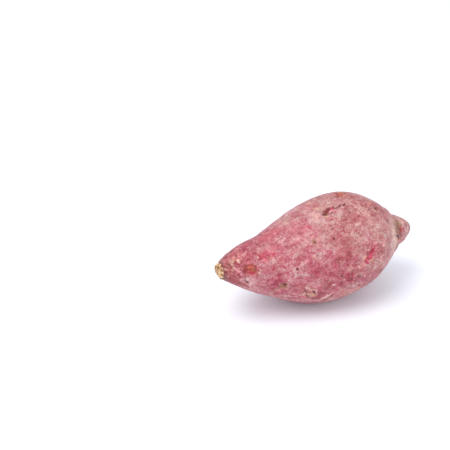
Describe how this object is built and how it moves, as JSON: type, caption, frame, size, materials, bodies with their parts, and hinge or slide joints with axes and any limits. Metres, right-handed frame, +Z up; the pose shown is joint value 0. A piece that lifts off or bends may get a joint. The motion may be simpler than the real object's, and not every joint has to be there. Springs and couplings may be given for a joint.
{
  "type": "purple sweet potato",
  "caption": "Whole raw purple-skinned sweet potato lying on its side: fat tapered root with a corky stub at one end and a short blunt nub at the other.",
  "frame": {"origin": "centre of the bounding box's bottom face, on the surface that the root rests on", "axes": "+X along the root from the corky stub to the tail nub, +Z up, +Y towards the side away from the marked flank"},
  "size_m": [0.136, 0.0664, 0.0634],
  "materials": {
    "skin": "matte"
  },
  "bodies": {
    "root": {"sweet_potato_root": "skin"}
  },
  "joints": []
}
